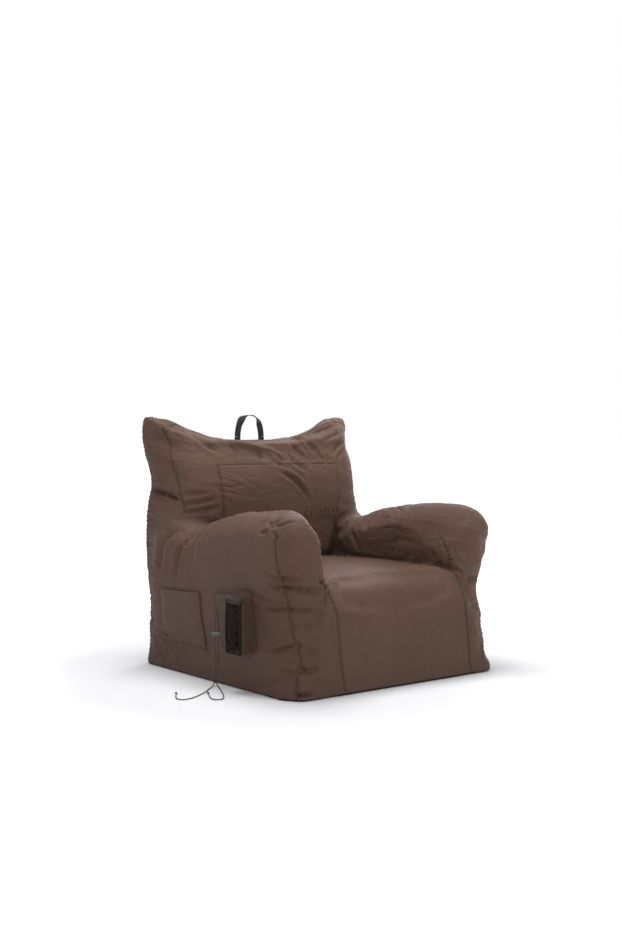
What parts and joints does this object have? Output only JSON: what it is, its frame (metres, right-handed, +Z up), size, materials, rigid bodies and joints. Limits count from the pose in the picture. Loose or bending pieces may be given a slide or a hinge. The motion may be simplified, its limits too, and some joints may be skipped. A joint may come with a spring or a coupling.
{
  "type": "bean bag chair",
  "caption": "Armchair-shaped bean bag in woven cloth with a patch pocket, a net drink holder with drawcord and toggle, a webbing carry handle and a filling zip.",
  "frame": {"origin": "on the floor, under the middle of the base panel", "axes": "+Z up, the seat faces -Y, the pockets are on the -X side"},
  "size_m": [1.0496, 0.8008, 0.8239],
  "materials": {
    "cover": "close-woven nylon with a soft sheen",
    "base_cloth": "coarse woven, matt",
    "lining": "plain woven, matt",
    "beads": "loose foamed polystyrene beads",
    "net": "knitted net, matt",
    "webbing": "flat woven webbing",
    "drawcord": "braided elastic cord",
    "toggle_plastic": "moulded, smooth",
    "spring_steel": "drawn wire",
    "zip_metal": "cast, satin",
    "zip_plastic": "moulded coil",
    "zip_tape": "woven tape"
  },
  "bodies": {
    "chair": {"arm_bead_fill_left": "beads", "arm_bead_fill_right": "beads", "arm_divider_left": "lining", "arm_divider_right": "lining", "arm_front_panel_left": "cover", "arm_front_panel_right": "cover", "arm_side_panel_left": "cover", "arm_side_panel_right": "cover", "back_bead_fill": "beads", "back_divider": "lining", "back_front_panel": "cover", "back_gusset_left": "cover", "back_gusset_right": "cover", "back_patch": "cover", "base_panel": "base_cloth", "drawcord_in_hem": "drawcord", "drawcord_tail_front": "drawcord", "drawcord_tail_rear": "drawcord", "end_knot_front": "drawcord", "end_knot_rear": "drawcord", "handle_anchors": "webbing", "holder_gusset": "cover", "holder_hem": "webbing", "holder_mesh": "net", "holder_patch": "cover", "patch_pocket": "cover", "rear_panel": "cover", "seat_bead_fill": "beads", "seat_panel": "cover", "tie_knot": "drawcord", "zip_end_stops": "zip_plastic", "zip_tape_lower": "zip_tape", "zip_tape_upper": "zip_tape", "zip_teeth_lower": "zip_plastic", "zip_teeth_upper": "zip_plastic"},
    "handle": {"carry_handle": "webbing"},
    "lock": {"cord_lock_body": "toggle_plastic", "cord_lock_spring": "spring_steel"},
    "lock_button": {"cord_lock_button": "toggle_plastic"},
    "slider": {"zip_slider": "zip_metal"}
  },
  "joints": [
    {"name": "handle_fold", "type": "hinge", "parent": "chair", "child": "handle", "pos_m": [0, 0.37, 0.7484], "axis": [1, 0, 0], "range_deg": [-90, 50]},
    {"name": "lock_slide", "type": "slide", "parent": "chair", "child": "lock", "axis": [0, 0, 1], "range_m": [-0.055, 0.045]},
    {"name": "lock_button_press", "type": "slide", "parent": "lock", "child": "lock_button", "axis": [-0.7071, 0.7071, 0], "range_m": [0, 0.003], "stiffness_N_per_m": 150, "springref_m": -0.002, "deforming": ["cord_lock_spring"]},
    {"name": "zip_slider_run", "type": "slide", "parent": "chair", "child": "slider", "axis": [1, 0, 0], "range_m": [-0.484, 0]}
  ]
}
